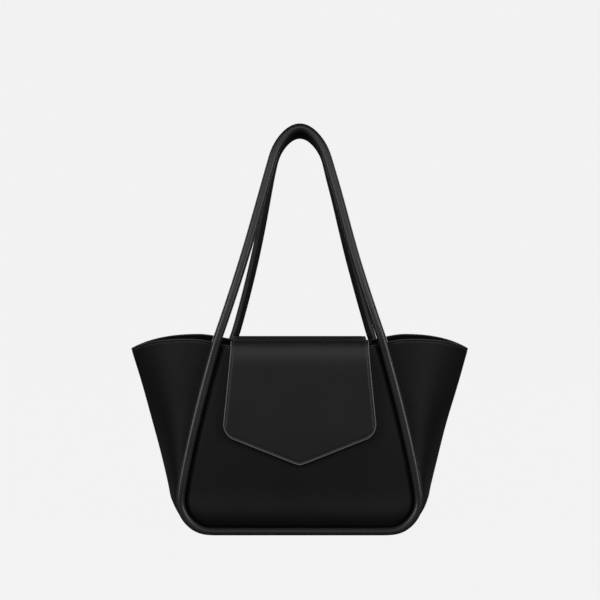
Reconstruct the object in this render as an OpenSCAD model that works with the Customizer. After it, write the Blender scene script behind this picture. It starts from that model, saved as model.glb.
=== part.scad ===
// Trapeze bag: a boxy leather tote with winged gussets, rolled piping that runs on into
// two handles, and a pentagonal flap with a hidden magnetic snap.

/* [Body] */
// Height of the tube joints above the base
rim_z = 228; // [180:1:280]
// Half width to the piping's centre above the bottom corner
side_x = 140; // [120:1:170]
// Radius of the bottom corner at the piping's centre
corner_r = 36; // [28:1:44]
// Half depth to the piping's centre at the base
base_half_depth = 56; // [46:1:70]
// Half depth to the piping's centre at the rim
rim_half_depth = 51; // [42:1:62]
// Width of the front body lost on each side between corner and rim
front_taper = 43; // [20:1:50]
// Width of the back body lost on each side between corner and rim
back_taper = 57; // [40:1:62]
// Curvature of the tapering sides
taper_power = 1.45; // [1:0.05:2]
// How far the back side hangs over to one side at the rim
back_sway = 4; // [0:0.5:6]

/* [Wings] */
// Reach of the wing's fold beyond the piping just above the corner
wing_low = 14; // [8:1:20]
// Reach of the wing's fold beyond the piping at the rim
wing_top = 108; // [80:1:115]
// How late the wing spreads on the way up
wing_power = 1.18; // [1:0.02:1.6]
// Fullness of the wing in plan
wing_curve = 2.6; // [1.8:0.1:3.4]
// Drop of the wing's tip below the highest stretch of the rim
tip_drop = 14; // [6:1:20]
// Drop of the rim between the handles
middle_drop = 7.5; // [2:0.5:10]
// Distance from the middle to the highest stretch of the rim
crest_x = 130; // [120:1:140]

/* [Leather] */
// Thickness of the outer leather
leather_t = 2; // [1.4:0.1:2.4]
// Thickness of the lining
lining_t = 1; // [0.6:0.1:1.2]
// Thickness of the stiffener behind the front and back leather
stiffener_t = 1.2; // [0.8:0.1:1.2]
// Crown of the front and back panels
panel_crown = 3; // [0:0.5:5]
// Thickness of the base board
board_t = 3; // [2:0.5:4]

/* [Tubes] */
// Outer diameter of the rolled tubes
tube_d = 10; // [8:0.5:12]
// Thickness of the leather round the tubes
wrap_t = 1.4; // [1:0.1:1.8]
// Clearance between a tube's leather and its cord
cord_gap = 0.2; // [0.1:0.05:0.3]

/* [Handles] */
// Height of the front handle's crown above the base
front_crown_z = 478; // [420:1:520]
// Height of the back handle's crown above the base
back_crown_z = 472; // [420:1:520]
// Slope of the front legs at the rim
front_slope = 0.348; // [0.3:0.002:0.36]
// Slope of the back legs at the rim
back_slope = 0.29; // [0.26:0.002:0.3]
// Easing of the legs' slope with height
leg_ease = 0.0002; // [0:0.00002:0.0002]
// Height of the rounded crown
crown_h = 30; // [24:1:40]
// Distance from the middle plane to a crown's centre
crown_y = 6.2; // [6.2:0.1:12]

/* [Flap] */
// Half width of the flap where it leaves the back rim
flap_back_w = 80; // [60:1:81]
// Half width of the flap at the front fold
flap_fold_w = 81; // [70:1:84]
// Half width of the flap at its lower corners
flap_low_w = 90.5; // [80:0.5:94]
// Height from the lower corners up to the fold's top
flap_side_h = 108; // [80:1:115]
// Height from the point up to the lower corners
flap_point_h = 36; // [15:1:40]
// Radius of the flap's corners
flap_corner_r = 18; // [6:1:22]
// Thickness of the flap's leather
flap_t = 2; // [1.4:0.1:2.4]
// Thickness of the flap's lining
flap_lining_t = 1; // [0.6:0.1:1.2]
// Outer radius of the front fold
fold_r = 8; // [5:0.5:10]
// Length of the strip that anchors the flap inside the back panel
tail_h = 24; // [15:1:40]

/* [Snap] */
// Diameter of the magnetic snap
snap_d = 18; // [14:1:20]
// Height of the socket's and the stud's visible rims
snap_t = 1.6; // [1.2:0.1:2]
// Diameter of the backing washers
washer_d = 22; // [18:1:26]
// Thickness of the backing washers
washer_t = 0.8; // [0.5:0.1:1]
// Height of the snap above the flap's point
snap_up = 30; // [20:1:45]

/* [Hidden] */

black = "#1b1b1c";
black_lining = "#101011";
board_grey = "#4a4a4a";
cord_white = "#d8d4c8";
gunmetal = "#6c6c70";

// Clearance between sewn layers, and between pieces that move
seam = 0.1;
run = 0.3;
tube_r = tube_d / 2;
// The corner arc's centre, shared by the tubes, the panels and the gussets
corner_x = side_x - corner_r;
corner_z = tube_r + corner_r;

front = -1;
back = 1;

function smooth(t) = let (c = min(1, max(0, t))) c * c * (3 - 2 * c);
function taper(dir) = dir == front ? front_taper : back_taper;
function sway(dir, z) = dir == front ? 0 : back_sway * pow(max(0, z - corner_z) / (rim_z - corner_z), 2);
function half_depth(z) = base_half_depth + (rim_half_depth - base_half_depth) * z / rim_z;

// Half width to the tube's centre at height z, above the bottom corner
function tube_x(dir, z) =
    side_x - taper(dir) * pow(max(0, z - corner_z) / (rim_z - corner_z), taper_power);

// Reach of the wing's fold beyond the tube's centre at height z
function wing(z) = wing_low
    + (wing_top - wing_low) * pow(max(0, z - corner_z) / (rim_z - corner_z), wing_power);

// Height of the open rim at distance x from the middle
function rim(x) = let (a = abs(x), tip_x = side_x - front_taper + wing_top)
    a < crest_x
    ? rim_z + 1 - middle_drop * (1 - smooth((a - crest_x + 55) / 55))
    : rim_z + 1 - tip_drop * pow((a - crest_x) / (tip_x - crest_x), 2);

// Joins two grids of points, row by row, into one closed sheet of leather
module sheet(outer, inner) {
    rows = len(outer);
    cols = len(outer[0]);
    n = rows * cols;
    function at(i, j) = i * cols + j;
    points = concat([for (r = outer) for (p = r) p], [for (r = inner) for (p = r) p]);
    skin = [for (i = [0 : rows - 2]) for (j = [0 : cols - 2])
        each [[at(i, j), at(i + 1, j), at(i, j + 1)], [at(i + 1, j), at(i + 1, j + 1), at(i, j + 1)]]];
    // The grid's border, once round
    ring = concat([for (j = [0 : cols - 1]) at(0, j)], [for (i = [1 : rows - 1]) at(i, cols - 1)],
        [for (j = [cols - 2 : -1 : 0]) at(rows - 1, j)], [for (i = [rows - 2 : -1 : 1]) at(i, 0)]);
    edge = [for (k = [0 : len(ring) - 1]) let (a = ring[k], b = ring[(k + 1) % len(ring)])
        each [[a, b, b + n], [a, b + n, a + n]]];
    polyhedron(points, concat(skin, [for (f = skin) [f[2] + n, f[1] + n, f[0] + n]], edge));
}

// Sweeps a round section along a path that lies in planes of constant side direction
module tube(path, r, sides, hole = 0) {
    n = len(path);
    function along(k) = let (d = path[min(n - 1, k + 1)] - path[max(0, k - 1)]) d / norm(d);
    function section(k, rad) = let (t = along(k), c = cross([0, 1, 0], t), u = c / norm(c), v = cross(t, u))
        [for (s = [0 : sides - 1]) let (a = 360 * (s + 0.5) / sides)
            path[k] + rad * (cos(a) * u + sin(a) * v)];
    function wall(base, flip) = [for (k = [0 : n - 2]) for (s = [0 : sides - 1])
        let (a = base + k * sides + s, b = base + k * sides + (s + 1) % sides)
        each flip ? [[a, b, b + sides], [a, b + sides, a + sides]]
            : [[a, b + sides, b], [a, a + sides, b + sides]]];
    outer = [for (k = [0 : n - 1]) each section(k, r)];
    if (hole == 0) {
        caps = [[for (s = [0 : sides - 1]) s], [for (s = [sides - 1 : -1 : 0]) (n - 1) * sides + s]];
        polyhedron(outer, concat(wall(0, false), caps));
    } else {
        inner = [for (k = [0 : n - 1]) each section(k, hole)];
        m = n * sides;
        last = (n - 1) * sides;
        rings = [for (s = [0 : sides - 1]) let (q = (s + 1) % sides)
            each [[s, q, q + m], [s, q + m, s + m],
                [last + s, last + q + m, last + q], [last + s, last + s + m, last + q + m]]];
        polyhedron(concat(outer, inner), concat(wall(0, false), wall(m, true), rings));
    }
}

// The sewn tube from the left rim down, along the base and up to the right rim
function side_point(dir, side, z) =
    [side * tube_x(dir, z) + sway(dir, z), dir * half_depth(z), z];
function corner_point(dir, side, a) = let (z = corner_z - corner_r * sin(a))
    [side * (corner_x + corner_r * cos(a)), dir * half_depth(z), z];
function piping_path(dir) = let (steps = 8) concat(
    [for (k = [0 : steps]) side_point(dir, -1, rim_z - (rim_z - corner_z) * k / steps)],
    [for (a = [18 : 18 : 90]) corner_point(dir, -1, a)],
    [for (a = [90 : -18 : 18]) corner_point(dir, 1, a)],
    [for (k = [steps : -1 : 0]) side_point(dir, 1, rim_z - (rim_z - corner_z) * k / steps)]);

// The free tube: two easing legs that lean to the middle, joined by a rounded crown
function crown_z(dir) = dir == front ? front_crown_z : back_crown_z;
function leg_slope(dir) = dir == front ? front_slope : back_slope;
function leg_x(dir, h) = tube_x(dir, rim_z) - leg_slope(dir) * h + leg_ease * h * h;
function handle_point(dir, side, h, narrow) = let (
    lean = pow(h / (crown_z(dir) - rim_z), 1.2),
    hang = sway(dir, rim_z) * max(0, 1 - pow(h / 190, 2)))
    [side * leg_x(dir, h) * narrow + hang,
        dir * (rim_half_depth + (crown_y - rim_half_depth) * lean), rim_z + h];
function handle_path(dir) = let (
    steps = 8,
    start = handle_gap,
    top = crown_z(dir) - crown_h - rim_z) concat(
    [for (k = [0 : steps - 1]) handle_point(dir, -1, start + (top - start) * k / steps, 1)],
    [for (a = [0 : 15 : 90]) handle_point(dir, -1, top + crown_h * sin(a), cos(a))],
    [for (a = [75 : -15 : 0]) handle_point(dir, 1, top + crown_h * sin(a), cos(a))],
    [for (k = [steps - 1 : -1 : 0]) handle_point(dir, 1, start + (top - start) * k / steps, 1)]);

module wrap(path) {
    color(black) tube(path, tube_r, 10, tube_r - wrap_t);
}

module cord(path) {
    color(cord_white) tube(path, tube_r - wrap_t - cord_gap, 6);
}

// Outward bulge of the front and back walls at height z and across the width, f from -1 to 1
function bulge(z, f) =
    panel_crown * cos(90 * f) * sin(180 * min(1, max(0, (z - tube_d) / (rim_z - tube_d))));

// One layer of the front or back wall, inside the tube's U, with its top on the open rim
module wall_layer(dir, inset, depth, t) {
    r = corner_r - inset;
    up = 7;
    function row_z(k, f) = k <= 5
        ? corner_z - r * sin(90 - 18 * k)
        : let (top_x = f * (tube_x(dir, rim_z) - inset)) corner_z + (rim(top_x) - corner_z) * (k - 5) / up;
    function row_w(k, z) = k <= 5 ? corner_x + r * cos(90 - 18 * k) : tube_x(dir, z) - inset;
    function point(k, f, d) = let (z = row_z(k, f))
        [f * row_w(k, z) + (k > 5 ? sway(dir, z) : 0), dir * (half_depth(z) - d + bulge(z, f)), z];
    cols = [for (j = [-4 : 4]) -dir * j / 4];
    sheet([for (k = [0 : 5 + up]) [for (f = cols) point(k, f, depth)]],
        [for (k = [0 : 5 + up]) [for (f = cols) point(k, f, depth + t)]]);
}

// Depths of the layers in the front and back walls, from the tube's centre plane inwards
panel_in = 1;
stiffener_in = panel_in + leather_t + seam;
washer_slack = 0.25;
lining_in = max(tube_r, stiffener_in + stiffener_t + washer_slack + washer_t) + seam;
wall_in = lining_in + lining_t;
base_top = leather_t + seam + board_t + seam + lining_t;
handle_gap = 1.1;

// One layer of a gusset, from the front tube round the wing's fold to the back tube
module gusset_layer(side, off) {
    edge = 2;
    p = wing_curve;
    us = [0, 0.12, 0.3, 0.5, 0.7, 0.87, 1];
    up = 9;
    spots = [for (k = [0 : 12]) k <= 6 ? [front, us[k]] : [back, us[12 - k]]];
    cols = side > 0 ? spots : [for (k = [12 : -1 : 0]) spots[k]];
    // Points in plan: reach beyond the start of the wing, and distance from the middle plane
    function plan(b, y, u, d) = let (
        nx = y * p * pow(max(u, us[1]), p - 1),
        ny = max(b, 1),
        len = norm([nx, ny]))
        u == 1 ? [b - d * len / nx, 0] : [b * u - d * nx / len, y * (1 - pow(u, p)) - d * ny / len];
    function low(k, dir, u, d) = let (
        a = 90 - 15 * k,
        grow = k / 6,
        from = tube_r + (edge - tube_r) * grow,
        b = (wing_low - tube_r) * pow(grow, 1.5) + tube_r - from,
        z0 = corner_z - corner_r * sin(a),
        q = plan(b, half_depth(z0) - tube_r - seam, u, d),
        r = corner_r + from + q[0])
        [side * (corner_x + r * cos(a)), dir * q[1], corner_z - r * sin(a)];
    function high(k, dir, u, d) = let (
        top_x = (tube_x(dir, rim_z) + edge) * (1 - u) + (tube_x(front, rim_z) + wing_top) * u,
        z = corner_z + (rim(top_x) - corner_z) * k / up,
        x0 = side * (tube_x(dir, z) + edge) + sway(dir, z),
        b = side * (side * (tube_x(front, z) + wing(z)) - x0),
        q = plan(b, half_depth(z) - tube_r - seam, u, d))
        [x0 + side * q[0], dir * q[1], z];
    function grid(d) = concat(
        [for (k = [0 : 6]) [for (c = cols) low(k, c[0], c[1], d)]],
        [for (k = [1 : up]) [for (c = cols) high(k, c[0], c[1], d)]]);
    sheet(grid(off[0]), grid(off[1]));
}

module front_panel() {
    color(black) wall_layer(front, tube_r + seam, panel_in, leather_t);
}

module back_panel() {
    color(black) wall_layer(back, tube_r + seam, panel_in, leather_t);
}

module front_stiffener() {
    color(board_grey) wall_layer(front, tube_r + 2, stiffener_in, stiffener_t);
}

module back_stiffener() {
    color(board_grey) wall_layer(back, tube_r + 2, stiffener_in, stiffener_t);
}

module front_lining() {
    color(black_lining) wall_layer(front, base_top + seam - tube_r, lining_in, lining_t);
}

module back_lining() {
    color(black_lining) wall_layer(back, base_top + seam - tube_r, lining_in, lining_t);
}

module left_gusset() {
    color(black) gusset_layer(-1, [0, leather_t]);
}

module right_gusset() {
    color(black) gusset_layer(1, [0, leather_t]);
}

module left_lining() {
    color(black_lining) gusset_layer(-1, [leather_t + seam, leather_t + seam + lining_t]);
}

module right_lining() {
    color(black_lining) gusset_layer(1, [leather_t + seam, leather_t + seam + lining_t]);
}

// A flat layer on the base, between the gussets and the tubes
module base_layer(z, t, inset) {
    w = 2 * (corner_x - seam - inset);
    d = 2 * (base_half_depth - tube_r - seam - inset);
    translate([-w / 2, -d / 2, z]) cube([w, d, t]);
}

module base_panel() {
    color(black) base_layer(0, leather_t, 0);
}

module base_board() {
    color(board_grey) base_layer(leather_t + seam, board_t, 1);
}

module base_lining() {
    color(black_lining) base_layer(base_top - lining_t, lining_t, 0);
}

module front_piping() {
    wrap(piping_path(front));
}

module front_piping_cord() {
    cord(piping_path(front));
}

module back_piping() {
    wrap(piping_path(back));
}

module back_piping_cord() {
    cord(piping_path(back));
}

module front_handle_leather() {
    wrap(handle_path(front));
}

module front_handle_cord() {
    cord(handle_path(front));
}

module back_handle_leather() {
    wrap(handle_path(back));
}

module back_handle_cord() {
    cord(handle_path(back));
}

// The flap's places: it lies on the rims, folds over the front one and hangs clear of the snap
stud_plate = 0.8;
nub_d = 8;
nub_h = 1;
lean = atan((base_half_depth - rim_half_depth) / rim_z);
flap_under_z = rim(tube_x(front, rim_z) - tube_r) + run;
flap_top_z = flap_under_z + flap_lining_t + flap_t;
fold_z = flap_top_z - fold_r;
flap_off = panel_crown - panel_in + snap_t + run + stud_plate;
flap_in_y = -(half_depth(fold_z) + flap_off);
fold_y = flap_in_y - flap_lining_t - flap_t + fold_r;
tail_y = rim_half_depth - wall_in - seam;
flap_drop = flap_side_h - fold_r;
snap_drop = flap_drop + flap_point_h - snap_up;
snap_z = fold_z - run - snap_drop * cos(lean);

// One layer of the flap over the opening, from the back rim to the end of the front fold
module flap_top_layer(off, t) {
    function row(d) = concat([[tail_y, flap_top_z - d, flap_back_w], [0, flap_top_z - d, flap_middle_w]],
        [for (a = [90 : 15 : 180])
            [fold_y + (fold_r - d) * cos(a), fold_z + (fold_r - d) * sin(a), flap_fold_w]]);
    function grid(d) = [for (p = row(d)) [for (s = [1, -1]) [s * p[2], p[0], p[1]]]];
    sheet(grid(off), grid(off + t));
}
flap_middle_w = flap_back_w + (flap_fold_w - flap_back_w) * tail_y / (tail_y - fold_y);

module flap_top_leather() {
    color(black) flap_top_layer(0, flap_t);
}

module flap_top_lining() {
    color(black_lining) flap_top_layer(flap_t, flap_lining_t);
}

// The strip that carries the flap, sewn inside the back wall
module flap_tail() {
    top = flap_under_z - run;
    module edge_bar(z) {
        translate([-flap_back_w, half_depth(z) - wall_in - seam - flap_t, z])
            cube([2 * flap_back_w, flap_t, 0.01]);
    }
    color(black) hull() {
        edge_bar(top - 0.01);
        edge_bar(top - tail_h);
    }
}

// The hanging front of the flap, drawn flat with its fold along y = 0
module flap_outline() {
    above = 3 * flap_corner_r;
    spread = (flap_low_w - flap_fold_w) / flap_drop;
    intersection() {
        offset(r = flap_corner_r, $fn = 32) offset(delta = -flap_corner_r) polygon([
            [-flap_fold_w + above * spread, above], [-flap_low_w, -flap_drop],
            [0, -flap_drop - flap_point_h],
            [flap_low_w, -flap_drop], [flap_fold_w - above * spread, above]]);
        translate([-side_x, -rim_z]) square([2 * side_x, rim_z]);
    }
}

// Stands a flat piece on the flap's inner face, with its thickness outwards
module on_flap() {
    translate([0, flap_in_y, fold_z - run]) rotate([90 - lean, 0, 0]) children();
}

module flap_front_lining() {
    color(black_lining) on_flap() linear_extrude(flap_lining_t) flap_outline();
}

module flap_front_leather() {
    color(black) on_flap() difference() {
        translate([0, 0, flap_lining_t]) linear_extrude(flap_t) flap_outline();
        translate([0, -snap_drop, 0])
            cylinder(d = washer_d + 2 * seam, h = flap_lining_t + washer_t + seam, $fn = 48);
    }
}

module stud_washer() {
    color(gunmetal) on_flap() translate([0, -snap_drop, flap_lining_t + seam / 2])
        cylinder(d = washer_d, h = washer_t, $fn = 48);
}

module snap_stud() {
    color(gunmetal) on_flap() translate([0, -snap_drop, -stud_plate]) {
        cylinder(d = snap_d, h = stud_plate, $fn = 48);
        translate([0, 0, -nub_h]) cylinder(d = nub_d, h = nub_h + stud_plate / 2, $fn = 48);
    }
}

module snap_socket() {
    color(gunmetal)
        translate([0, -half_depth(snap_z) + panel_in - bulge(snap_z, 0) - seam, snap_z])
        rotate([90 - lean, 0, 0]) difference() {
            cylinder(d = snap_d, h = snap_t, $fn = 48);
            translate([0, 0, snap_t - nub_h - run])
                cylinder(d = nub_d + 4 * run, h = nub_h + 2 * run, $fn = 48);
        }
}

module socket_washer() {
    color(gunmetal)
        translate([0, -half_depth(snap_z) + stiffener_in + stiffener_t + washer_slack - bulge(snap_z, 0),
            snap_z])
        rotate([-90 - lean, 0, 0]) cylinder(d = washer_d, h = washer_t, $fn = 48);
}

front_panel();
back_panel();
left_gusset();
right_gusset();
base_panel();
base_board();
front_stiffener();
back_stiffener();
front_lining();
back_lining();
left_lining();
right_lining();
base_lining();
front_piping();
front_piping_cord();
back_piping();
back_piping_cord();
flap_tail();
snap_socket();
socket_washer();
flap_top_leather();
flap_top_lining();
flap_front_leather();
flap_front_lining();
snap_stud();
stud_washer();
front_handle_leather();
front_handle_cord();
back_handle_leather();
back_handle_cord();
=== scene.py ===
import math

import bpy
import numpy as np
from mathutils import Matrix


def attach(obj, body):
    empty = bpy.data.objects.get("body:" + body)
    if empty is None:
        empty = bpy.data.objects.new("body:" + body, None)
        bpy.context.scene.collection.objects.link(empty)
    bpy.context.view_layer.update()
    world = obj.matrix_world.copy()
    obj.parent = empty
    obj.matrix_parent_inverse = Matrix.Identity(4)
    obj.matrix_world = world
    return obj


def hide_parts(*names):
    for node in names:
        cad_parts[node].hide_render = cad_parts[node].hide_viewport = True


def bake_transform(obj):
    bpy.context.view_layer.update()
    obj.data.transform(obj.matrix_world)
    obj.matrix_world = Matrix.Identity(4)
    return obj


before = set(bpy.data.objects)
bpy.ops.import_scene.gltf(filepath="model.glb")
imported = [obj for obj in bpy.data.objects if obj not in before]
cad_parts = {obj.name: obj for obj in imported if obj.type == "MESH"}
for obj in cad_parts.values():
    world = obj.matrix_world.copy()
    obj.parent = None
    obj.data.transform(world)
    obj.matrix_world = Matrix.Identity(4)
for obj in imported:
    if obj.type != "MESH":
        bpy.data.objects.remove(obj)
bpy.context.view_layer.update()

# Camera, standing a little above the rim and 2.2 m in front of the bag, as the photograph was taken.
# A long lens keeps the wings and the handles nearly in their true proportions, and its shift keeps
# the upright lines upright.
view_px = 600
px = 0.00117
front_plane = -0.055
eye_distance = 2.2
eye_height = 0.385
aim_height = 0.2752
aim_x = 0.0003
film_w = 36.0
view_w = view_px * px
camera_data = bpy.data.cameras.new("camera")
camera_data.sensor_width = film_w
camera_data.lens = film_w * eye_distance / view_w
camera_data.shift_y = (aim_height - eye_height) / view_w
camera = bpy.data.objects.new("camera", camera_data)
camera.location = (aim_x, front_plane - eye_distance, eye_height)
camera.rotation_euler = (math.pi / 2, 0, 0)
bpy.context.scene.collection.objects.link(camera)
bpy.context.scene.camera = camera
bpy.context.scene.view_settings.view_transform = "Standard"

# Studio light: a tall soft box on each side, which draws the long highlights on the rolled tubes, a
# broad one above and in front, two weaker ones behind, and a small low one with a narrow beam, which
# lights the back wall alone. The room is dark.
room_grey = 0.03
world = bpy.data.worlds.new("room")
world.use_nodes = True
room = world.node_tree.nodes["Background"]
room.inputs["Color"].default_value = (room_grey, room_grey, room_grey, 1)
room.inputs["Strength"].default_value = 1.0
bpy.context.scene.world = world


def soft_box(name, place, aim, size, power):
    """A rectangular area light at place, turned so that its face looks at aim."""
    data = bpy.data.lights.new(name, "AREA")
    data.shape = "RECTANGLE"
    data.size, data.size_y = size
    data.energy = power
    lamp = bpy.data.objects.new(name, data)
    lamp.location = place
    toward = np.array(aim, float) - np.array(place, float)
    level = math.hypot(toward[0], toward[1])
    lamp.rotation_euler = (math.atan2(level, -toward[2]), 0, math.atan2(-toward[0], toward[1]))
    bpy.context.scene.collection.objects.link(lamp)
    return lamp


bag_middle = (0, 0, 0.2)
soft_box("left_box", (-1.4, -1.0, 0.72), bag_middle, (0.45, 1.4), 15)
soft_box("right_box", (1.4, -1.0, 0.72), bag_middle, (0.45, 1.4), 15)
soft_box("left_back_box", (-1.35, 1.65, 0.75), bag_middle, (0.6, 1.1), 6.5)
soft_box("right_back_box", (1.35, 1.65, 0.75), bag_middle, (0.6, 1.1), 6.5)
soft_box("top_box", (0, -1.9, 1.25), bag_middle, (1.8, 1.0), 14)
back_beam = math.radians(17)
back_lamp = soft_box("back_box", (0, 0.95, 0.09), (0, 0, 0.085), (0.34, 0.06), 0.12)
back_lamp.data.spread = back_beam
back_lamp.visible_camera = False


# Pale floor that sweeps up into the backdrop, both of one seamless sheet of paper.
# To the camera it is an even near white with a share of the true shade, and reflections see little
# of it.
paper, even_share, paper_shade = 0.887, 0.94, 0.12
sweep_half_w, sweep_front, sweep_bend, sweep_top, bend_r = 6.0, -6.0, 2.0, 5.0, 1.2


def sweep_sheet():
    """A profile of floor, quarter circle and wall, carried straight across the view."""
    turn = np.linspace(0, math.pi / 2, 17)
    y = np.concatenate(([sweep_front], sweep_bend + bend_r * np.sin(turn), [sweep_bend + bend_r]))
    z = np.concatenate(([0.0], bend_r * (1 - np.cos(turn)), [sweep_top]))
    n = len(y)
    x = np.repeat([-sweep_half_w, sweep_half_w], n)
    points = np.stack([x, np.tile(y, 2), np.tile(z, 2)], 1)
    k = np.arange(n - 1)
    mesh = bpy.data.meshes.new("paper_sweep")
    mesh.from_pydata(points.tolist(), [], np.stack([k, k + n, k + n + 1, k + 1], 1).tolist())
    mesh.polygons.foreach_set("use_smooth", np.ones(n - 1, bool))
    sheet = bpy.data.objects.new("paper_sweep", mesh)
    bpy.context.scene.collection.objects.link(sheet)
    return sheet


def paper_material():
    """Matte paper, seen by the camera mostly as an even tone, with a share of true shade."""
    material = bpy.data.materials.new("paper")
    material.use_nodes = True
    tree = material.node_tree
    tree.nodes.clear()
    new, link = tree.nodes.new, tree.links.new
    out, matte, glow, path, share, mix = (new("ShaderNode" + kind) for kind in (
        "OutputMaterial", "BsdfDiffuse", "Emission", "LightPath", "Math", "MixShader"))
    tone = paper / even_share
    matte.inputs["Color"].default_value = (paper_shade, paper_shade, paper_shade, 1)
    glow.inputs["Color"].default_value = (tone, tone, tone, 1)
    share.operation = "MULTIPLY"
    share.inputs[1].default_value = even_share
    link(path.outputs["Is Camera Ray"], share.inputs[0])
    link(share.outputs[0], mix.inputs["Fac"])
    link(matte.outputs[0], mix.inputs[1])
    link(glow.outputs[0], mix.inputs[2])
    link(mix.outputs[0], out.inputs["Surface"])
    return material


sweep = sweep_sheet()
sweep.data.materials.append(paper_material())


# Two rolled tubes, one for the front and one for the back. Each is a cotton cord wrapped in black
# leather, sewn as piping along the base and up the sides of its wall, and running on from the rim
# as the handle, so that each is one closed loop.
mm = 0.001
FRONT, BACK = -1, 1
walls = ((FRONT, "front"), (BACK, "back"))
rim_z, side_x, corner_r, tube_r = 228 * mm, 140 * mm, 36 * mm, 5 * mm
base_half_depth, rim_half_depth = 56 * mm, 51 * mm
side_taper = {FRONT: 43 * mm, BACK: 57 * mm}
taper_power = 1.24
back_sway = {FRONT: 0.0, BACK: 4 * mm}
corner_x, corner_z = side_x - corner_r, tube_r + corner_r
crown_z = {FRONT: 479.4 * mm, BACK: 472 * mm}
leg_slope = {FRONT: 0.348, BACK: 0.29}
leg_ease, leg_lean = 0.0002 / mm, 1.2
crown_h, crown_y = 34 * mm, 6.2 * mm
leg_swell, leg_drift, swell_h, swell_run = 1.5 * mm, 0.6 * mm, 175 * mm, 60 * mm
sway_end = 190 * mm
handle_r, handle_from, handle_run = 0.4 * mm, 20 * mm, 60 * mm
flat_share, flat_h = 0.2, 9 * mm
lip_h, lip_dip, lip_w, dip_turn, lip_from, lip_ease = 0.7 * mm, 0.35 * mm, 0.16, 0.42, 9 * mm, 3 * mm
# Heights and runs for the tubes' leather near the ground and up the handles: rougher there, and darker by
# painted shade.
worn_and_shaded_h, dark_from, dark_run, loop_run = 15 * mm, 190 * mm, 50 * mm, 200 * mm


def smooth(t):
    """3t^2 - 2t^3 between 0 and 1."""
    t = np.clip(t, 0, 1)
    return t * t * (3 - 2 * t)


def climb(z):
    """Share of the way from the bottom corner up to the rim, and 0 below the corner."""
    return np.maximum(0, z - corner_z) / (rim_z - corner_z)


def half_depth(z):
    """Distance from the middle plane to a tube's centre: a straight lean inwards from base to rim."""
    return base_half_depth + (rim_half_depth - base_half_depth) * z / rim_z


def tube_x(side, z):
    """Half width to the tube's centre: the side less its taper times the climb to a power."""
    return side_x - side_taper[side] * climb(z) ** taper_power


def evenly(points, step, closed=False):
    """The polyline resampled at equal steps along its length."""
    if closed:
        points = np.concatenate([points, points[:1]])
    along = np.concatenate([[0], np.cumsum(np.linalg.norm(np.diff(points, axis=0), axis=1))])
    count = max(4, int(round(along[-1] / step)))
    at = np.linspace(0, along[-1], count + 1)
    at = at[:-1] if closed else at
    return np.stack([np.interp(at, along, points[:, i]) for i in range(3)], 1)


def tube_loop(side, step=2 * mm, ease=4):
    """Half of the loop is bottom run, corner arc, tapering side, leg with slope a*h - b*h^2 and
    elliptic crown; the other half mirrors it. A running mean eases the joins."""
    turn = np.radians(np.linspace(90, 0, 40))
    low_z = corner_z - corner_r * np.sin(turn)
    wall_z = np.linspace(corner_z, rim_z, 120)[1:]
    top = crown_z[side] - crown_h - rim_z
    leg_h = np.linspace(0, top, 120)[1:]
    over = np.radians(np.linspace(0, 90, 60))[1:]
    h = np.concatenate([leg_h, top + crown_h * np.sin(over)])
    narrow = np.concatenate([np.ones(len(leg_h)), np.cos(over)])
    swell = np.exp(-((h - swell_h) / swell_run) ** 2)
    leg_x = (tube_x(side, rim_z) - leg_slope[side] * h + leg_ease * h * h + leg_swell * swell) * narrow
    leaning = (h / (crown_z[side] - rim_z)) ** leg_lean
    x = np.concatenate([[0], corner_x + corner_r * np.cos(turn), tube_x(side, wall_z), leg_x])
    y = np.concatenate([half_depth(np.array([low_z[0]])), half_depth(low_z), half_depth(wall_z),
                        rim_half_depth + (crown_y - rim_half_depth) * leaning]) * side
    z = np.concatenate([[low_z[0]], low_z, wall_z, rim_z + h])
    shift = back_sway[side] * np.concatenate([[0], 0 * low_z, climb(wall_z) ** 2,
                                              np.maximum(0, 1 - (h / sway_end) ** 2)])
    shift[-len(h):] += leg_drift * swell
    right = np.stack([x + shift, y, z], 1)
    left = np.stack([shift - x, y, z], 1)[::-1]
    loop = evenly(np.concatenate([right, left[1:-1]]), step, closed=True)
    near = [np.roll(loop, k, axis=0) for k in range(-ease, ease + 1)]
    return sum(near) / len(near)


def put_mesh(name, points, faces, body=None, slot="leather", **values):
    """A smooth mesh object from arrays, with one float attribute for each keyword."""
    mesh = bpy.data.meshes.new(name)
    mesh.from_pydata(np.asarray(points, float).tolist(), [], [list(map(int, f)) for f in faces])
    mesh.polygons.foreach_set("use_smooth", np.ones(len(mesh.polygons), bool))
    for key, value in values.items():
        layer = mesh.attributes.new(key, "FLOAT", "POINT")
        layer.data.foreach_set("value", np.asarray(value, np.float32))
    piece = bpy.data.objects.new(name, mesh)
    bpy.context.scene.collection.objects.link(piece)
    if body:
        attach(piece, body)
    return piece


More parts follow.
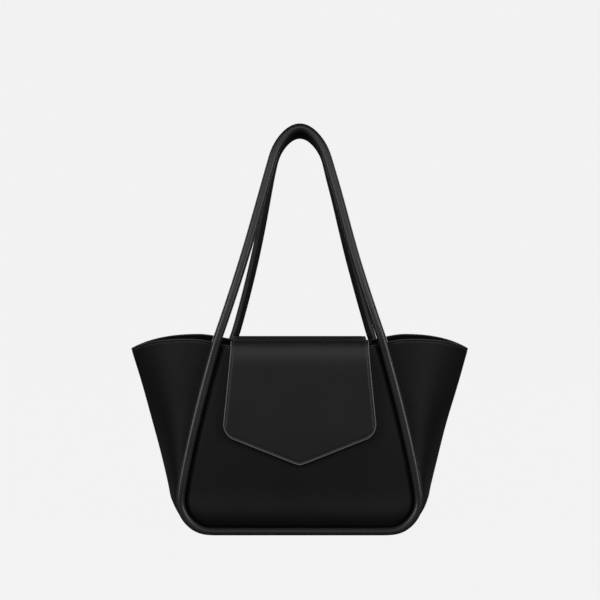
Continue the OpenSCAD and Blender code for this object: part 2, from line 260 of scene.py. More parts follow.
def black_leather(name, colour=0.0105, rough=0.44, grain=1.0, edge_paint_highlight_colour=0.05, shine=0.5, coat=0.12):
    """Smooth calf leather: fine pebbles and creases as bump, a slow drift in tone and gloss, a
    paler cut edge where the mesh's edge value is 1, which is edge paint with a painted highlight on the
    rounded edge, darker painted shade where its deep value is 1, and duller where its rubbed value is 1."""
    material = bpy.data.materials.new(name)
    material.use_nodes = True
    tree = material.node_tree
    new, link = tree.nodes.new, tree.links.new
    shader = tree.nodes["Principled BSDF"]
    shader.inputs["IOR"].default_value = 1.5
    shader.inputs["Specular IOR Level"].default_value = shine
    shader.inputs["Coat Weight"].default_value = coat
    shader.inputs["Coat Roughness"].default_value = 0.28
    where = new("ShaderNodeTexCoord")
    pebbles, creases, drift, relief, bump, tone, edge, edge_paint_highlight, deep, painted_shade_mix, gloss, rubbed, dull = (
        new("ShaderNode" + kind) for kind in (
            "TexVoronoi", "TexNoise", "TexNoise", "Math", "Bump", "ValToRGB", "Attribute", "Mix",
            "Attribute", "Mix", "MapRange", "Attribute", "Math"))
    pebbles.feature = "SMOOTH_F1"
    pebbles.inputs["Scale"].default_value = 1300
    creases.inputs["Scale"].default_value = 420
    creases.inputs["Detail"].default_value = 6
    drift.inputs["Scale"].default_value = 16
    drift.inputs["Detail"].default_value = 4
    for texture in (pebbles, creases, drift):
        link(where.outputs["Object"], texture.inputs["Vector"])
    relief.operation = "MULTIPLY_ADD"
    relief.inputs[1].default_value = 0.6
    link(pebbles.outputs["Distance"], relief.inputs[0])
    link(creases.outputs["Fac"], relief.inputs[2])
    bump.inputs["Strength"].default_value = 0.16 * grain
    bump.inputs["Distance"].default_value = 0.00025
    link(relief.outputs[0], bump.inputs["Height"])
    link(bump.outputs[0], shader.inputs["Normal"])
    tone.color_ramp.elements[0].position, tone.color_ramp.elements[1].position = 0.3, 0.75
    tone.color_ramp.elements[0].color = (colour * 0.8, colour * 0.8, colour * 0.82, 1)
    tone.color_ramp.elements[1].color = (colour * 1.25, colour * 1.22, colour * 1.2, 1)
    link(drift.outputs["Fac"], tone.inputs["Fac"])
    # The cut edge is paler: edge paint with a painted highlight along its rounded top.
    edge.attribute_name = "edge"
    edge_paint_highlight.data_type = "RGBA"
    edge_paint_highlight.inputs[7].default_value = (edge_paint_highlight_colour, edge_paint_highlight_colour, edge_paint_highlight_colour * 0.98, 1)
    link(edge.outputs["Fac"], edge_paint_highlight.inputs[0])
    link(tone.outputs["Color"], edge_paint_highlight.inputs[6])
    # Where deep is 1 the colour darkens: painted shade.
    deep.attribute_name = "deep"
    painted_shade_mix.data_type = "RGBA"
    painted_shade_mix.inputs[7].default_value = (colour * 0.2, colour * 0.2, colour * 0.2, 1)
    link(deep.outputs["Fac"], painted_shade_mix.inputs[0])
    link(edge_paint_highlight.outputs[2], painted_shade_mix.inputs[6])
    link(painted_shade_mix.outputs[2], shader.inputs["Base Color"])
    gloss.inputs["To Min"].default_value = rough - 0.04
    gloss.inputs["To Max"].default_value = rough + 0.05
    link(drift.outputs["Fac"], gloss.inputs["Value"])
    rubbed.attribute_name = "rubbed"
    dull.operation = "MULTIPLY_ADD"
    dull.inputs[1].default_value = 0.4
    link(rubbed.outputs["Fac"], dull.inputs[0])
    link(gloss.outputs[0], dull.inputs[2])
    link(dull.outputs[0], shader.inputs["Roughness"])
    return material


# The back tube has a darker, less glossy copy of the front tube's leather: painted shade on the back
# handle.
tube_leather = {
    FRONT: black_leather("front_tube_leather", colour=0.016, rough=0.36, shine=0.45, coat=0.08),
    BACK: black_leather("back_tube_leather_shaded", colour=0.008, rough=0.42, shine=0.3, coat=0)}


def swept(line, angle, radius):
    """Rings C + r(cos t A + sin t B) carried round a closed line, with A in the loop's own plane and B
    across it, and pressed flat by a share of their height where they stand on the ground."""
    n, sides = radius.shape
    ahead = np.roll(line, -1, axis=0) - np.roll(line, 1, axis=0)
    ahead /= np.linalg.norm(ahead, axis=1)[:, None]
    out = np.cross([0, 1, 0], ahead)
    out /= np.linalg.norm(out, axis=1)[:, None]
    inward = np.cross(ahead, out)
    ring = np.cos(angle)[None, :, None] * out[:, None] + np.sin(angle)[None, :, None] * inward[:, None]
    points = line[:, None] + radius[..., None] * ring
    points[..., 2] *= 1 - (flat_share * np.exp(-(line[:, 2] / flat_h) ** 2))[:, None]
    k, s = np.meshgrid(np.arange(n), np.arange(sides), indexing="ij")
    k2, s2 = (k + 1) % n, (s + 1) % sides
    faces = np.stack([k * sides + s, k * sides + s2, k2 * sides + s2, k2 * sides + s], -1).reshape(-1, 4)
    return points.reshape(-1, 3), faces


def rolled_tube(side, name, sides=36):
    """A swept ring whose radius swells by a narrow lip h exp(-(t/w)^2) where the wrap's edges are
    sewn together, with a dip on either side of it. The lip faces the middle of the bag and fades in
    above the rim. The leather is duller near the ground and towards the crown, and darker there by painted
    shade."""
    line = tube_loop(side)
    angle = np.linspace(0, 2 * np.pi, sides, endpoint=False)
    lip_angle = -side * np.pi / 2
    off = (angle - lip_angle + np.pi) % (2 * np.pi) - np.pi
    dip = np.exp(-((np.abs(off) - dip_turn) / lip_w) ** 2)
    lip = lip_h * np.exp(-(off / lip_w) ** 2) - lip_dip * dip
    free = 1 / (1 + np.exp(-(line[:, 2] - rim_z - lip_from) / lip_ease))
    fuller = handle_r * smooth((line[:, 2] - handle_from) / handle_run)
    points, faces = swept(line, angle, tube_r + fuller[:, None] + free[:, None] * lip[None, :])
    z = points[:, 2]
    low, high = np.exp(-(z / worn_and_shaded_h) ** 2), smooth((z - loop_run) / loop_run)
    handle_shade = smooth((z - dark_from) / dark_run)
    # deep is painted shade: darker near the ground, above the rim and towards the crown.
    piece = put_mesh(name, points, faces, rubbed=np.maximum(low, 0.3 * high),
                     deep=np.maximum(low, 0.6 * handle_shade + 0.4 * high))
    piece.data.materials.append(tube_leather[side])
    return piece


for side, word in walls:
    tube = rolled_tube(side, f"{word}_tube")
    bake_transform(tube)
    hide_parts(f"{word}_piping", f"{word}_handle_leather")


# Front and back wall: one panel of leather each, sewn into the crease of its tube on three sides
# with a slight crown, and a cut, painted edge at the open rim. The rim dips between the handles.
leather_t = 2 * mm
panel_in, panel_crown = 1 * mm, 3 * mm
middle_drop, tip_drop, crest_x, crest_run = 7.5 * mm, 14 * mm, 130 * mm, 55 * mm
tip_power = 2.4
wing_top = 108 * mm
tip_x = side_x - side_taper[FRONT] + wing_top
wall_hem = 1.5 * mm
groove, groove_w, rim_skive, wall_wave = 0.45 * mm, 0.8 * mm, 0.12, 0.35 * mm
belly_z, belly_run, foot_run, seam_run, base_fade = 25 * mm, 16 * mm, 10 * mm, 20 * mm, 6 * mm


def rim(x):
    """Height of the open rim: low between the handles, highest beside them at the crest, and falling
    to the tips by k t^2.4, with t the way from crest to tip."""
    far = np.abs(x)
    middle = rim_z + mm - middle_drop * (1 - smooth((far - crest_x + crest_run) / crest_run))
    past = np.maximum(0, (far - crest_x) / (tip_x - crest_x))
    return np.where(far < crest_x, middle, rim_z + mm - tip_drop * past ** tip_power)


def slab(outer, inner, turns=5):
    """A piece of leather between two grids, closed round its border by half circles
    P = C + a cos t + d |a| sin t, with a half the thickness and d the way out along the sheet.
    Gives its points, its faces and an edge value of 1 on the cut edge."""
    rows, cols = outer.shape[:2]
    count = rows * cols
    i, j = np.meshgrid(np.arange(rows - 1), np.arange(cols - 1), indexing="ij")
    k = i * cols + j
    skin = np.stack([k, k + 1, k + cols + 1, k + cols], -1).reshape(-1, 4)
    ring = np.concatenate([np.arange(cols), np.arange(1, rows) * cols + cols - 1,
                           (rows - 1) * cols + np.arange(cols - 2, -1, -1),
                           np.arange(rows - 2, 0, -1) * cols])
    within = np.clip(ring // cols, 1, rows - 2) * cols + np.clip(ring % cols, 1, cols - 2)
    top, under = outer.reshape(-1, 3), inner.reshape(-1, 3)
    a = (top[ring] - under[ring]) / 2
    centre = (top[ring] + under[ring]) / 2
    size = np.linalg.norm(a, axis=1)[:, None]
    d = np.cross(a, np.roll(centre, -1, axis=0) - np.roll(centre, 1, axis=0))
    d /= np.linalg.norm(d, axis=1)[:, None]
    d *= np.sign(np.sum(d * (centre - (top[within] + under[within]) / 2)))
    t = np.linspace(0, math.pi, turns + 2)[1:-1, None, None]
    band = centre + a * np.cos(t) + d * size * np.sin(t)
    m = len(ring)
    levels = np.concatenate([ring[None], 2 * count + np.arange(turns * m).reshape(turns, m),
                             count + ring[None]])
    near, far = levels[:-1], levels[1:]
    rest = np.stack([np.roll(near, -1, 1), near, far, np.roll(far, -1, 1)], -1).reshape(-1, 4)
    points = np.concatenate([top, under, band.reshape(-1, 3)])
    faces = np.concatenate([skin, skin[:, ::-1] + count, rest])
    mid = skin[len(skin) // 2]
    normal = np.cross(points[mid[1]] - points[mid[0]], points[mid[3]] - points[mid[0]])
    if normal @ (points[mid[0]] - points[mid[0] + count]) < 0:
        faces = faces[:, ::-1]
    edge = np.zeros(len(points))
    edge[ring] = edge[ring + count] = edge[2 * count:] = 1
    return points, faces, edge


def unevenness(x, z, size, phase=0.0):
    """A slow wander of the surface from three crossed waves, as hand cut leather has."""
    return size / 3 * (np.sin(x * 41 + z * 17 + phase) + np.sin(z * 57 - x * 23 + 2 * phase)
                       + np.sin(x * 87 + z * 71 + 3 * phase))


def wall_rows(z_low, z_high, coarse=3 * mm, fine=0.4 * mm, hem=6 * mm):
    """Heights from z_low to z_high with close steps under the cut edge."""
    body = np.linspace(z_low, z_high - hem, max(2, int((z_high - z_low - hem) / coarse)))
    return np.concatenate([body[:-1], np.linspace(z_high - hem, z_high, int(hem / fine) + 1)])


def wall_grid(side, hem, cols=150):
    """Flat outline of a wall: x = f w(z), with w following the tube's arc and side less the hem,
    and the upper rows drawn to the rim by a share of the climb to the fourth power. Gives x, z, f and
    the distance to the sewn edge."""
    r = corner_r - hem
    turn = np.radians(np.linspace(90, 0, 26))
    heights = np.concatenate([corner_z - r * np.sin(turn), wall_rows(corner_z, rim_z)[1:]])
    deep = corner_z - np.minimum(heights, corner_z)
    half = np.where(heights < corner_z, corner_x + np.sqrt(np.maximum(0, r * r - deep ** 2)),
                    tube_x(side, heights) - hem)
    f = np.sin(np.linspace(-math.pi / 2, math.pi / 2, cols))
    f = 0.45 * f + 0.55 * np.linspace(-1, 1, cols)
    z, f = np.meshgrid(heights, f, indexing="ij")
    x = f * half[:, None]
    raised = ((np.maximum(z, corner_z) - corner_z) / (rim_z - corner_z)) ** 4
    z = z + raised * (rim(x) - leather_t / 2 - rim_z)
    gap = (1 - np.abs(f)) * half[:, None]
    low = z - (corner_z - r)
    from_arc = r - np.hypot(np.maximum(0, np.abs(x) - corner_x), np.minimum(0, z - corner_z))
    gap = np.where((z < corner_z) & (np.abs(x) > corner_x), from_arc, np.minimum(gap, low))
    return x, z, f, np.maximum(0, gap)


def crown(z, f):
    """Outward crown of a wall at height z and share f of its half width."""
    rise = np.clip((z - 2 * tube_r) / (rim_z - 2 * tube_r), 0, 1)
    return panel_crown * np.cos(math.pi / 2 * f) * np.sin(math.pi * rise)


def wall_away(side, x, z, f, gap, tuck=5.5 * mm, reach=6 * mm, base_reach=4.5 * mm, sag=2.3 * mm):
    """How far the wall's face stands from the middle plane: the tube's plane less its seat, crowned,
    tucked in at the seam by k exp(-(gap/r)^2), with a narrower tuck along the base, and sagging
    outwards above the base by a bell curve of its height."""
    above = z - corner_z + corner_r - wall_hem
    reach = reach - (reach - base_reach) * np.exp(-(above / base_fade) ** 4)
    away = half_depth(z) - panel_in + crown(z, f) - tuck * np.exp(-(gap / reach) ** 2)
    belly = np.exp(-((z - belly_z) / belly_run) ** 2) - np.exp(-(z / foot_run) ** 2)
    return away + (sag * belly + unevenness(x, z, wall_wave, side)) * smooth(gap / seam_run)


wall_leather = black_leather("wall_leather", colour=0.004, rough=0.6, edge_paint_highlight_colour=0.035, shine=0.2,
                             coat=0)
stitch_in = 2 * mm
painted_h = 5 * mm
rim_faces = {}
for side, word in walls:
    x, z, f, gap = wall_grid(side, wall_hem)
    y = side * wall_away(side, x, z, f, gap)
    below_rim = rim(x) - leather_t / 2 - z
    pressed = groove * np.exp(-((below_rim - stitch_in) / groove_w) ** 2)
    shift = back_sway[side] * climb(z) ** 2
    outer = np.stack([x + shift, y - side * pressed, z], -1)
    thick = leather_t * (1 - rim_skive * np.exp(-(below_rim / mm) ** 2))
    inner = np.stack([x + shift, y - side * thick, z], -1)
    rim_faces[word] = outer, inner, below_rim
    points, faces, edge = slab(outer, inner)
    edge *= points[:, 2] > rim(points[:, 0]) - painted_h
    wall = put_mesh(f"{word}_wall", points, faces, "bag", edge=edge)
    wall.data.materials.append(wall_leather)
    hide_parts(f"{word}_panel")


# Side gussets: one strip of leather each, sewn to both tubes, wrapped under the base's ends and
# folded outwards along a crease that climbs from the base to the wing's pointed tip.
wings = ((-1, "left"), (1, "right"))
wing_low, wing_more, wing_power, foot_power = 15.8 * mm, 1.2 * mm, 1.18, 1.5
wing_curve, crease_ease = 2.6, 0.06
rim_from, gusset_wave = 2 * mm, 0.5 * mm
gusset_hem, gusset_back = 2 * mm, 4.2 * mm


def wing(z):
    """Reach of the wing's crease beyond the front tube at height z: from low to top by the climb to
    a power."""
    return wing_low + (wing_top + wing_more - wing_low) * climb(z) ** wing_power


def gusset_sheet(side_dir, off, cols=121, drop=0.0):
    """Plan curve y = Y (1 - u^2.6) from each tube (u = 0) out to the crease (u = 1), with the crease
    rounded by u = 1 - sqrt(s^2 + e^2) + e. Offset inwards by off along the plan's normal."""
    turn = np.radians(np.linspace(90, 0, 30))
    arc_z = corner_z - corner_r * np.sin(turn)
    heights = np.concatenate([arc_z, wall_rows(corner_z, rim_z)[1:]])
    s = np.linspace(-1, 1, cols)
    s = 0.55 * s + 0.45 * s ** 3
    u = 1 - (np.sqrt(s * s + crease_ease ** 2) - crease_ease) / (math.hypot(1, crease_ease) - crease_ease)
    z, u = np.meshgrid(heights, u, indexing="ij")
    dirs = np.where(s < 0, FRONT, BACK)[None, :] + 0 * z
    grow = np.clip(1 - np.degrees(np.arcsin(np.clip((corner_z - z) / corner_r, 0, 1))) / 90, 0, 1)
    top = np.where(dirs < 0, tube_x(FRONT, rim_z), tube_x(BACK, rim_z)) + rim_from
    rim_at = rim(top * (1 - u) + tip_x * u) - leather_t / 2 - drop
    raised = ((np.maximum(z, corner_z) - corner_z) / (rim_z - corner_z)) ** 3
    z_here = z + raised * (rim_at - rim_z)
    start = np.where(dirs < 0, tube_x(FRONT, z_here), tube_x(BACK, z_here)) - gusset_hem
    shift = np.where(dirs < 0, 0, back_sway[BACK] * climb(z_here) ** 2) * side_dir
    reach_high = tube_x(FRONT, z_here) + wing(z_here) - start - shift
    high_x = start + shift + reach_high * u
    from_tube = tube_r - (tube_r + gusset_hem) * grow
    reach_low = (wing_low - tube_r) * grow ** foot_power + tube_r - from_tube
    radius = corner_r + from_tube + reach_low * u
    turn = (1 - grow) * math.pi / 2
    low_x, low_z = corner_x + radius * np.cos(turn), corner_z - radius * np.sin(turn)
    below = z < corner_z
    x, z_out = np.where(below, low_x, high_x), np.where(below, low_z, z_here)
    depth = half_depth(z_out) - gusset_back
    y = dirs * depth * (1 - u ** wing_curve)
    reach = np.where(below, reach_low, reach_high)
    slope_n = depth * wing_curve * np.maximum(u, 0.05) ** (wing_curve - 1) * dirs
    bend = np.abs(s)[None, :] / np.sqrt(s * s + crease_ease ** 2)[None, :]
    nx, ny = np.abs(slope_n), reach * dirs * bend
    size = np.hypot(nx, ny)
    nx, ny = nx / size, ny / size
    wave = unevenness(y + side_dir, z_out, gusset_wave, side_dir) * smooth(u * 3) * smooth(grow)
    out_x = np.where(below, np.cos(turn), 1.0) * nx
    out_z = np.where(below, -np.sin(turn), 0.0) * nx
    points = np.stack([side_dir * (x + (wave - off) * out_x), y + (wave - off) * ny,
                       z_out + (wave - off) * out_z], -1)
    return points, rim_at - z_here


gusset_leather = black_leather("gusset_leather", colour=0.004, rough=0.6, edge_paint_highlight_colour=0.035,
                               shine=0.17, coat=0)
for side_dir, word in wings:
    outer, below_rim = gusset_sheet(side_dir, 0)
    inner = gusset_sheet(side_dir, leather_t)[0]
    pressed = groove * np.exp(-((below_rim - stitch_in) / groove_w) ** 2)
    outer += (inner - outer) * (pressed / leather_t)[..., None]
    rim_faces[word] = outer, inner, below_rim
    points, faces, edge = slab(outer, inner)
    edge *= points[:, 2] > rim(points[:, 0]) - painted_h
    gusset = put_mesh(f"{word}_side", points, faces, "bag", edge=edge)
    gusset.data.materials.append(gusset_leather)
    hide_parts(f"{word}_gusset")


# Flap: one sheet of leather with a thin lining behind it. It comes from inside the back wall, lies
# over the opening, folds over the front rim and hangs down as a pentagon with rounded corners.
flap_back_w, flap_fold_w, flap_low_w = 80 * mm, 81 * mm, 90.5 * mm
flap_side_h, flap_point_h, flap_corner_r = 108 * mm, 36 * mm, 18 * mm
flap_t, flap_lining_t, fold_a, fold_b, run = 2 * mm, 1 * mm, 12 * mm, 30 * mm, 0.3 * mm
fold_run = math.pi / 2 * math.sqrt((fold_a ** 2 + fold_b ** 2) / 2)
flap_top_z = float(rim(tube_x(FRONT, rim_z) - tube_r)) + run + flap_lining_t + flap_t
fold_z = flap_top_z - fold_b
flap_clear = 2.7 * mm
fold_y = -(half_depth(fold_z) + panel_crown - panel_in + flap_clear) - flap_lining_t - flap_t + fold_a
tail_y = 44.45 * mm
flap_drop = flap_side_h - fold_b
wall_lean = math.atan((base_half_depth - rim_half_depth) / rim_z)
tip_ease = 2.5 * mm
back_r, back_down, top_sag, flap_wave = 4 * mm, 0.8 * mm, 1.2 * mm, 0.3 * mm
top_run = tail_y - back_r - fold_y
back_run = back_r * math.pi / 2


def flap_width(v):
    """Half width at length v below the fold's end, and v < 0 runs round the fold and over the top."""
    over = np.maximum(0, -v - fold_run) / (tail_y - fold_y)
    down = np.maximum(0, v + fold_run / 2) / (flap_drop + fold_run / 2)
    return (flap_fold_w - flap_t / 2 + (flap_back_w - flap_fold_w) * over
            + (flap_low_w - flap_fold_w) * down)


def flap_length(x):
    """Length of the hanging part at x: two straight lower edges, an eased tip and corner arcs."""
    slope = flap_point_h / flap_low_w
    tip = flap_drop + flap_point_h - flap_t / 2
    straight = tip - slope * (np.sqrt(x * x + tip_ease ** 2) - tip_ease)
    side_angle = math.atan((flap_low_w - flap_fold_w) / (flap_drop + fold_run / 2))
    low_angle = math.atan(slope)
    side_n = np.array([math.cos(side_angle), -math.sin(side_angle)])
    low_n = np.array([math.sin(low_angle), math.cos(low_angle)])
    half = float(flap_width(np.array(flap_drop)))
    corner = np.array([half, tip - slope * (half - tip_ease)])
    centre = corner - (side_n + low_n) * flap_corner_r / (1 + side_n @ low_n)
    off = np.clip(np.abs(x) - centre[0], 0, flap_corner_r)
    arc = centre[1] + np.sqrt(np.maximum(0, flap_corner_r ** 2 - off * off))
    return np.where(np.abs(x) > centre[0] + flap_corner_r * low_n[0], arc, straight)


def flap_place(x, v, off):
    """The point at x and v, at depth off behind the face: from the back, a short drop, a quarter circle,
    a top that sags by k sin^2 between the walls, a quarter ellipse with its half axes less the depth,
    and a straight hanging part that leans with the wall."""
    turn = np.clip(-v / fold_run, 0, 1) * math.pi / 2
    past = np.maximum(0, -v - fold_run)
    over, down = np.minimum(past, top_run), np.maximum(0, v)
    back_turn = np.clip((past - top_run) / back_r, 0, math.pi / 2)
    back_fall = np.maximum(0, past - top_run - back_run)
    wave = unevenness(x, v, flap_wave, 2.0) * smooth(down / seam_run)
    between = np.sin(math.pi * over / top_run) ** 2
    sag = between * (top_sag * (0.75 + 0.5 * (x / flap_back_w) ** 2) + unevenness(x, over, flap_wave, 1.3))
    y = fold_y - (fold_a - off) * np.cos(turn) + over - wave - down * math.sin(wall_lean)
    y = y + (back_r - off) * np.sin(back_turn)
    z = fold_z + (fold_b - off) * np.sin(turn) - down * math.cos(wall_lean) - sag
    z = z - (back_r - off) * (1 - np.cos(back_turn)) - back_fall
    return np.stack([x, y, z], -1)


def flap_net(cols=161):
    """Flat coordinates x = f w(v) and v of the sheet's grid, whose last rows follow the outline."""
    f = np.sin(np.linspace(-math.pi / 2, math.pi / 2, cols))[None]
    upper = np.concatenate([np.linspace(-back_down - back_run, 0, 13)[:-1] - top_run - fold_run,
                            np.linspace(-top_run, 0, 50) - fold_run,
                            np.linspace(-fold_run, 0, 31)[1:-1]])
    q = np.linspace(0, 1, 90)
    q = (0.75 * q + 0.25 * np.sin(q * math.pi / 2))[:, None]
    x = f * flap_fold_w + 0 * q
    for _ in range(40):
        x = (x + f * flap_width(q * flap_length(x))) / 2
    v = q * flap_length(x)
    upper_v = upper[:, None] + 0 * f
    return np.concatenate([f * flap_width(upper_v), x]), np.concatenate([upper_v, v])


edge_stitch, edge_groove, low_edge_cos = 2.1 * mm, 0.6 * mm, 0.93
net_x, net_v = flap_net()
to_side = flap_width(net_v) - np.abs(net_x)
to_low = (flap_length(net_x) - net_v) * low_edge_cos
to_edge = np.minimum(to_side, to_low)
pressed = edge_groove * np.exp(-((to_edge - edge_stitch) / groove_w) ** 2)
# The flap's paler edge is edge paint with a painted highlight along its rounded edge.
flap_leather = black_leather("flap_leather", colour=0.006, rough=0.55, edge_paint_highlight_colour=0.13, shine=0.32,
                             coat=0.05)
points, faces, edge = slab(flap_place(net_x, net_v, pressed), flap_place(net_x, net_v, flap_t))
edge *= points[:, 1] < tail_y - back_r
flap = put_mesh("flap", points, faces, edge=edge)
flap.data.materials.append(flap_leather)
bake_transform(flap)
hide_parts("flap_top_leather", "flap_front_leather")


# Lining: matte black fabric behind every piece of leather. It comes up to the rims and meets the
# leather there, and along the walls it lies over a board that stops short of the rim.
def lining_fabric(name, colour=0.0025):
    """Brushed fabric: a fine fibre bump, almost no gloss and a slow drift in tone."""
    material = bpy.data.materials.new(name)
    material.use_nodes = True
    tree = material.node_tree
    new, link = tree.nodes.new, tree.links.new
    shader = tree.nodes["Principled BSDF"]
    shader.inputs["Roughness"].default_value = 0.95
    shader.inputs["Specular IOR Level"].default_value = 0.06
    where, fibres, drift, tone, bump = (new("ShaderNode" + kind) for kind in (
        "TexCoord", "TexNoise", "TexNoise", "ValToRGB", "Bump"))
    fibres.inputs["Scale"].default_value = 2600
    fibres.inputs["Detail"].default_value = 4
    drift.inputs["Scale"].default_value = 30
    drift.inputs["Detail"].default_value = 5
    tone.color_ramp.elements[0].position, tone.color_ramp.elements[1].position = 0.3, 0.75
    tone.color_ramp.elements[0].color = (colour * 0.7, colour * 0.7, colour * 0.72, 1)
    tone.color_ramp.elements[1].color = (colour * 1.4, colour * 1.35, colour * 1.3, 1)
    bump.inputs["Strength"].default_value = 0.3
    bump.inputs["Distance"].default_value = 0.0003
    link(where.outputs["Object"], fibres.inputs["Vector"])
    link(where.outputs["Object"], drift.inputs["Vector"])
    link(drift.outputs["Fac"], tone.inputs["Fac"])
    link(tone.outputs["Color"], shader.inputs["Base Color"])
    link(fibres.outputs["Fac"], bump.inputs["Height"])
    link(bump.outputs[0], shader.inputs["Normal"])
    return material


fabric = lining_fabric("lining_fabric")
lining_t, seam = 1 * mm, 0.1 * mm
lining_in, lining_hem, lining_drop = 5.45 * mm, 1.4 * mm, 0.6 * mm
meet_from, meet_run, flap_lining_share, flap_hem = 16 * mm, 13 * mm, 0.992, 0.6 * mm


def wall_layer(side, depth, t, hem, drop, meet):
    """A layer at its depth behind the tube's plane. Where meet is 1 it closes in on the leather from
    16 to 3 mm below the rim."""
    x, z, f, gap = wall_grid(side, hem)
    share = climb(z) ** 3
    z = z - share * drop
    near = smooth((z - rim(x) + meet_from) / meet_run) * meet
    behind = depth - panel_in + (leather_t + seam - depth + panel_in) * near
    shift = back_sway[side] * climb(z) ** 2
    away = wall_away(side, x, z, f, gap + hem - wall_hem)
    return [np.stack([x + shift, side * (away - behind - d), z], -1) for d in (0, t)]


for side, word in walls:
    layer = wall_layer(side, lining_in, lining_t, lining_hem, lining_drop, 1)
    points, faces, edge = slab(*layer, turns=3)
    lining = put_mesh(f"{word}_wall_lining", points, faces, "bag", "lining", edge=edge)
    lining.data.materials.append(fabric)
    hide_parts(f"{word}_lining")
for side_dir, word in wings:
    near, far = (gusset_sheet(side_dir, leather_t + seam + d, drop=lining_drop)[0] for d in (0, lining_t))
    points, faces, edge = slab(near, far, turns=3)
    lining = put_mesh(f"{word}_side_lining", points, faces, "bag", "lining", edge=edge)
    lining.data.materials.append(fabric)
    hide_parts(f"{word}_lining")
hem_x = net_x * flap_lining_share
hem_v = net_v - flap_hem * np.linspace(-1, 1, len(net_v))[:, None]
points, faces, edge = slab(flap_place(hem_x, hem_v, flap_t),
                           flap_place(hem_x, hem_v, flap_t + flap_lining_t), turns=3)
lining = put_mesh("flap_lining", points, faces, slot="lining", edge=edge)
lining.data.materials.append(fabric)
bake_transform(lining)
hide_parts("flap_top_lining", "flap_front_lining")


# Base: a flat panel of leather between the bottom tubes, with the lining above the board inside,
# and the tail of the flap, a strip of leather sewn inside the back wall.
def flat_sheet(half_x, half_y, z, wave, n=60):
    """A level rectangle with a slow wander of its height."""
    x, y = np.meshgrid(np.linspace(-half_x, half_x, n), np.linspace(-half_y, half_y, n), indexing="xy")
    return np.stack([x, y, z + unevenness(x, y, wave, 1.0)], -1)


base_half_x = corner_x - seam - leather_t / 2
base_half_y = base_half_depth - tube_r - seam - leather_t / 2
base_lift, board_t = 0.5 * mm, 3 * mm
points, faces, edge = slab(flat_sheet(base_half_x, base_half_y, base_lift, 0.2 * mm),
                           flat_sheet(base_half_x, base_half_y, leather_t, 0))
base = put_mesh("base_leather", points, faces, "bag", edge=edge)
base.data.materials.append(black_leather("base_leather", colour=0.006, rough=0.55))
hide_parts("base_panel")
base_top = leather_t + seam + board_t + seam
points, faces, edge = slab(flat_sheet(base_half_x, base_half_y, base_top + lining_t, 0.5 * mm),
                           flat_sheet(base_half_x, base_half_y, base_top, 0), turns=3)
lining = put_mesh("base_fabric", points, faces, "bag", "lining", edge=edge)
lining.data.materials.append(fabric)
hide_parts("base_lining")
tail_h, tail_gap, tail_hem = 24 * mm, 1.2 * mm, 3 * mm
f, down = np.meshgrid(np.linspace(-1, 1, 80), np.linspace(0, 1, 24), indexing="ij")
tail_z = (flap_top_z - back_r - back_down - tail_gap - leather_t / 2
          - down * (tail_h - tail_hem - leather_t))
tail_inner = half_depth(tail_z) - lining_in - lining_t - 2 * seam
tail_half = flap_back_w - leather_t / 2
tail_points = [np.stack([f * tail_half, tail_inner - d, tail_z], -1) for d in (flap_t, 0)]
points, faces, edge = slab(*tail_points)
tail = put_mesh("flap_tail_leather", points, faces, "bag", edge=edge)
tail.data.materials.append(flap_leather)
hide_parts("flap_tail")


# Stitches: twisted thread sewn in rows along the rims and round the flap, about 3 mm inside the cut
# edge, each stitch a short bead in a groove that is pressed into the leather.
thread = black_leather("thread", colour=0.045, rough=0.55, grain=0.4, shine=0.4, coat=0)
stitch_pitch, stitch_half = 4 * mm, np.array([1.45, 0.42, 0.34]) * mm


def stitch_row(name, line, out, body=None):
    """Ellipsoids (a cos t, b sin t cos p, c sin t sin p) at equal steps along the line, turned to its
    direction and to the leather's normal, all in one mesh."""
    along = np.concatenate([[0], np.cumsum(np.linalg.norm(np.diff(line, axis=0), axis=1))])
    at = np.arange(stitch_pitch, along[-1] - stitch_pitch / 2, stitch_pitch)
    take = lambda values, where: np.stack([np.interp(where, along, values[:, i]) for i in range(3)], 1)
    centre = take(line, at)
    ahead = take(line, at + stitch_pitch / 4) - take(line, at - stitch_pitch / 4)
    up = take(out, at)
    ahead /= np.linalg.norm(ahead, axis=1)[:, None]
    up -= ahead * (up * ahead).sum(1)[:, None]
    up /= np.linalg.norm(up, axis=1)[:, None]
    across = np.cross(up, ahead)
    t, p = np.meshgrid(np.linspace(0, math.pi, 6), np.arange(6) * math.pi / 3, indexing="ij")
    shape = np.stack([np.cos(t), np.sin(t) * np.cos(p), np.sin(t) * np.sin(p)], -1)
    shape = shape.reshape(-1, 3) * stitch_half
    frames = np.stack([ahead, across, up], 1)
    points = centre[:, None] + shape[None] @ frames
    i, j = np.meshgrid(np.arange(5), np.arange(6), indexing="ij")
    quad = np.stack([i * 6 + j, i * 6 + (j + 1) % 6, i * 6 + 6 + (j + 1) % 6, i * 6 + 6 + j], -1)
    faces = (np.arange(len(at))[:, None, None] * 36 + quad.reshape(1, -1, 4)).reshape(-1, 4)
    row = put_mesh(name, points.reshape(-1, 3), faces, body)
    row.data.materials.append(thread)
    return row


def outward(outer, inner, row):
    """Unit normals along one row of a piece of leather."""
    out = outer[row] - inner[row]
    return out / np.linalg.norm(out, axis=1)[:, None]


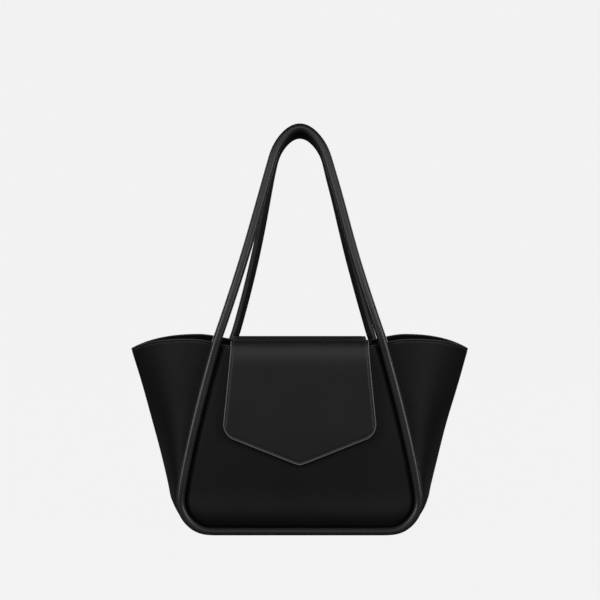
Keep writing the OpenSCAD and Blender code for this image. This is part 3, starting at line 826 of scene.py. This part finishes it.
for word, (outer, inner, below) in rim_faces.items():
    row = int(np.argmin(np.abs(below[:, below.shape[1] // 2] - stitch_in)))
    stitch_row(f"{word}_rim_stitches", outer[row, 3:-3], outward(outer, inner, row)[3:-3], "bag")
border = np.concatenate([np.stack([net_x[2:, -1], net_v[2:, -1]], 1),
                         np.stack([net_x[-1, ::-1], net_v[-1, ::-1]], 1)[1:],
                         np.stack([net_x[2:, 0], net_v[2:, 0]], 1)[::-1][1:]])
border = evenly(np.concatenate([border, np.zeros((len(border), 1))], 1), mm)[:, :2]
step = np.gradient(border, axis=0)
step /= np.linalg.norm(step, axis=1)[:, None]
inside = border + edge_stitch * np.stack([-step[:, 1], step[:, 0]], 1)
face = flap_place(inside[:, 0], inside[:, 1], groove)
under = flap_place(inside[:, 0], inside[:, 1], flap_t)
seam_row = stitch_row("flap_stitches", face, face - under)
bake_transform(seam_row)


# Boards and snap: a stiff grey board lies in the base and a thin one behind each wall, between leather
# and lining. The magnetic snap has two gunmetal discs, each riveted through to a washer.
stiffener_t, stiffener_hem = 1.2 * mm, 12 * mm
stiffener_in, stiffener_drop = panel_in + leather_t + seam, 18 * mm


def plain_material(name, colour, rough, metal, scale, relief):
    """A tone that drifts with noise, over a fine bump of the same scale."""
    material = bpy.data.materials.new(name)
    material.use_nodes = True
    tree = material.node_tree
    new, link = tree.nodes.new, tree.links.new
    shader = tree.nodes["Principled BSDF"]
    shader.inputs["Metallic"].default_value = metal
    where, noise, tone, bump, gloss = (new("ShaderNode" + kind) for kind in (
        "TexCoord", "TexNoise", "ValToRGB", "Bump", "MapRange"))
    noise.inputs["Scale"].default_value = scale
    noise.inputs["Detail"].default_value = 6
    tone.color_ramp.elements[0].position, tone.color_ramp.elements[1].position = 0.3, 0.7
    tone.color_ramp.elements[0].color = (*(c * 0.8 for c in colour), 1)
    tone.color_ramp.elements[1].color = (*(min(1, c * 1.2) for c in colour), 1)
    gloss.inputs["To Min"].default_value = rough - 0.06
    gloss.inputs["To Max"].default_value = rough + 0.06
    bump.inputs["Strength"].default_value = relief
    bump.inputs["Distance"].default_value = 0.0002
    link(where.outputs["Object"], noise.inputs["Vector"])
    link(noise.outputs["Fac"], tone.inputs["Fac"])
    link(tone.outputs["Color"], shader.inputs["Base Color"])
    link(noise.outputs["Fac"], gloss.inputs["Value"])
    link(gloss.outputs[0], shader.inputs["Roughness"])
    link(noise.outputs["Fac"], bump.inputs["Height"])
    link(bump.outputs[0], shader.inputs["Normal"])
    return material


gunmetal = plain_material("gunmetal", (0.16, 0.16, 0.17), 0.32, 1.0, 900, 0.15)
board = plain_material("grey_board", (0.12, 0.12, 0.12), 0.8, 0.0, 500, 0.4)

for side, word in walls:
    layer = wall_layer(side, stiffener_in, stiffener_t, stiffener_hem, stiffener_drop, 0)
    points, faces, edge = slab(*layer, turns=3)
    stiffener = put_mesh(f"{word}_board", points, faces, "bag", "board", edge=edge)
    stiffener.data.materials.append(board)
    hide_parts(f"{word}_stiffener")

kept_finish = {gunmetal: ("snap_socket", "socket_washer", "snap_stud", "stud_washer"),
               board: ("base_board",)}
for finish, names in kept_finish.items():
    for name in names:
        for material_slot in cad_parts[name].material_slots:
            material_slot.material = finish


# Cords: undyed cotton, three strands twisted together, wrapped by the leather of each tube and
# hidden in it. Each is one closed loop that fills its tube from end to end and follows its line.
cotton = plain_material("cotton", (0.7, 0.67, 0.6), 0.9, 0.0, 1500, 0.5)
cord_r, strand_swell, twist, loop_step = 3.3 * mm, 0.2 * mm, 20 * mm, 2 * mm
for side, word in walls:
    line = tube_loop(side, loop_step)
    angle = np.linspace(0, 2 * np.pi, 18, endpoint=False)
    turns = round(len(line) * loop_step / twist)
    phase = np.arange(len(line))[:, None] * 2 * np.pi * turns / len(line)
    points, faces = swept(line, angle, cord_r + strand_swell * np.cos(3 * (angle[None, :] - phase)))
    filler = put_mesh(f"{word}_cord", points, faces, slot="cord")
    filler.data.materials.append(cotton)
    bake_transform(filler)
    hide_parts(f"{word}_piping_cord", f"{word}_handle_cord")
